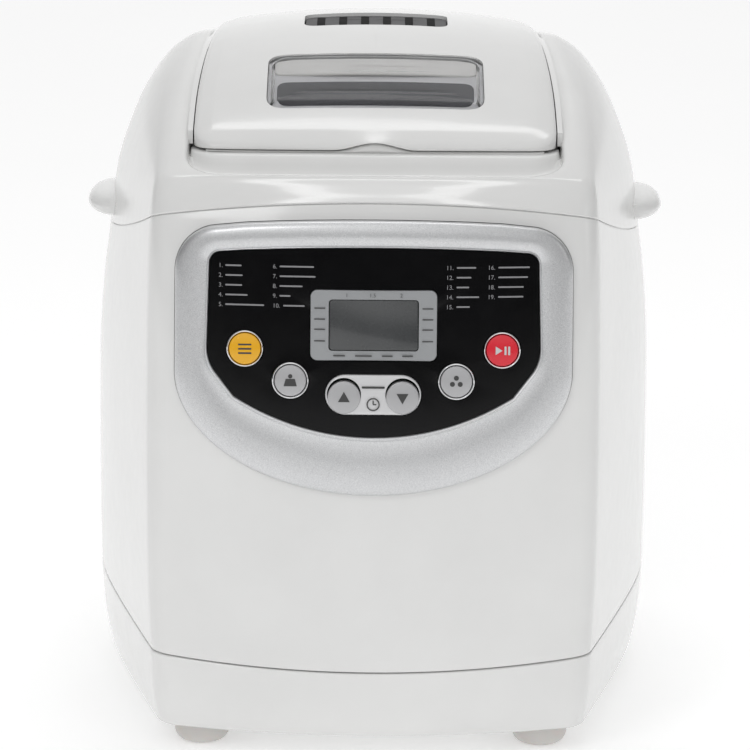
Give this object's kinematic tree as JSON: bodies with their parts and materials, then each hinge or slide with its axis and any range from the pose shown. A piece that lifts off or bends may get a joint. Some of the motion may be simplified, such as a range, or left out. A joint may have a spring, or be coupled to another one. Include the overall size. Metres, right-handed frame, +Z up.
{
  "type": "bread machine",
  "caption": "Upright bread machine with a hinged windowed lid, lift-out pan with bail handle, belt-driven kneading paddle and a bowed front control panel.",
  "frame": {"origin": "on the table, under the middle of the machine's overall box", "axes": "+Z up; the control panel faces -Y; +X points to the right for someone facing the panel, the red key's side"},
  "size_m": [0.274, 0.3567, 0.3145],
  "materials": {
    "white_plastic": "glossy white moulded plastic",
    "foot_plastic": "satin off-white plastic",
    "silver_paint": "silver painted plastic, satin",
    "black_gloss": "glossy black printed panel",
    "display": "dark liquid crystal display",
    "yellow_button": "glossy yellow",
    "red_button": "glossy red",
    "silver_button": "silver painted plastic",
    "chrome": "chromed ring",
    "clear_plastic": "clear",
    "dark_plastic": "matt dark plastic",
    "steel": "bright steel",
    "nonstick": "dark non-stick coating",
    "cast_aluminium": "as cast",
    "rubber": "black rubber",
    "silicone": "silicone",
    "circuit_board": "green circuit board",
    "ceramic": "unglazed ceramic",
    "brass": "turned brass"
  },
  "bodies": {
    "housing": {"base_tray": "white_plastic", "main_housing": "white_plastic", "upper_housing": "white_plastic", "grip_left": "white_plastic", "grip_right": "white_plastic", "foot_front_left": "foot_plastic", "foot_front_right": "foot_plastic", "foot_rear_left": "foot_plastic", "foot_rear_right": "foot_plastic", "panel_bezel": "silver_paint", "panel_fascia": "black_gloss", "display_frame": "silver_button", "timer_surround": "silver_button", "display_glass": "display", "menu_button_ring": "chrome", "start_button_ring": "chrome", "weight_button_ring": "chrome", "color_button_ring": "chrome", "control_board": "circuit_board", "power_board": "circuit_board", "motor_capacitor": "dark_plastic", "cord_gland": "dark_plastic", "hinge_pin_left": "steel", "hinge_pin_right": "steel", "baking_chamber": "steel", "heating_element": "steel", "pan_clip_left": "steel", "pan_clip_right": "steel", "bottom_frame": "steel", "motor_stator": "steel", "heater_terminal_block": "ceramic", "temperature_probe": "brass", "shaft_bush": "brass", "pan_seat": "cast_aluminium", "motor_lower_bell": "cast_aluminium", "motor_upper_bell": "cast_aluminium", "drive_belt": "rubber"},
    "lid": {"lid_cover": "white_plastic", "lid_window": "clear_plastic", "lid_vent_grille": "dark_plastic", "lid_liner": "steel", "lid_inner_glass": "clear_plastic", "lid_gasket": "silicone"},
    "pan": {"bread_pan": "nonstick", "pan_base_ring": "cast_aluminium", "pan_shaft_seal": "rubber"},
    "handle": {"pan_handle": "steel"},
    "kneader": {"pan_shaft": "steel", "kneading_paddle": "nonstick"},
    "drive": {"drive_shaft": "steel", "drive_pulley": "dark_plastic"},
    "rotor": {"motor_rotor": "steel", "motor_pulley": "steel", "motor_fan": "dark_plastic"},
    "menu_key": {"menu_button": "yellow_button"},
    "start_key": {"start_button": "red_button"},
    "weight_key": {"weight_button": "silver_button"},
    "color_key": {"color_button": "silver_button"},
    "timer_up_key": {"timer_up_button": "silver_button"},
    "timer_down_key": {"timer_down_button": "silver_button"}
  },
  "joints": [
    {"name": "lid_hinge", "type": "hinge", "parent": "housing", "child": "lid", "pos_m": [0, 0.1255, 0.291], "axis": [-1, 0, 0], "range_deg": [0, 95]},
    {"name": "pan_lift", "type": "slide", "parent": "housing", "child": "pan", "axis": [0, 0, 1], "range_m": [0, 0.06]},
    {"name": "handle_swing", "type": "hinge", "parent": "pan", "child": "handle", "pos_m": [0, 0.006, 0.193], "axis": [0, -1, 0], "range_deg": [0, 180]},
    {"name": "drive_spin", "type": "hinge", "parent": "housing", "child": "drive", "pos_m": [0, 0.006, 0.04], "axis": [0, 0, 1], "continuous": true},
    {"name": "motor_spin", "type": "hinge", "parent": "housing", "child": "rotor", "pos_m": [0, -0.128, 0.05], "axis": [0, 0, 1], "continuous": true},
    {"name": "kneader_spin", "type": "hinge", "parent": "pan", "child": "kneader", "pos_m": [0, 0.006, 0.085], "axis": [0, 0, 1], "continuous": true},
    {"name": "menu_press", "type": "slide", "parent": "housing", "child": "menu_key", "axis": [0, 0.9973, -0.0732], "range_m": [0, 0.001], "stiffness_N_per_m": 400, "springref_m": -0.001},
    {"name": "start_press", "type": "slide", "parent": "housing", "child": "start_key", "axis": [0, 0.9973, -0.0732], "range_m": [0, 0.001], "stiffness_N_per_m": 400, "springref_m": -0.001},
    {"name": "weight_press", "type": "slide", "parent": "housing", "child": "weight_key", "axis": [0, 0.9973, -0.0732], "range_m": [0, 0.001], "stiffness_N_per_m": 400, "springref_m": -0.001},
    {"name": "color_press", "type": "slide", "parent": "housing", "child": "color_key", "axis": [0, 0.9973, -0.0732], "range_m": [0, 0.001], "stiffness_N_per_m": 400, "springref_m": -0.001},
    {"name": "timer_up_press", "type": "slide", "parent": "housing", "child": "timer_up_key", "axis": [0, 0.9973, -0.0732], "range_m": [0, 0.001], "stiffness_N_per_m": 400, "springref_m": -0.001},
    {"name": "timer_down_press", "type": "slide", "parent": "housing", "child": "timer_down_key", "axis": [0, 0.9973, -0.0732], "range_m": [0, 0.001], "stiffness_N_per_m": 400, "springref_m": -0.001}
  ],
  "couplings": [
    {"joint": "motor_spin", "follows": "drive_spin", "ratio": 4.8889},
    {"joint": "kneader_spin", "follows": "drive_spin", "ratio": 1}
  ]
}
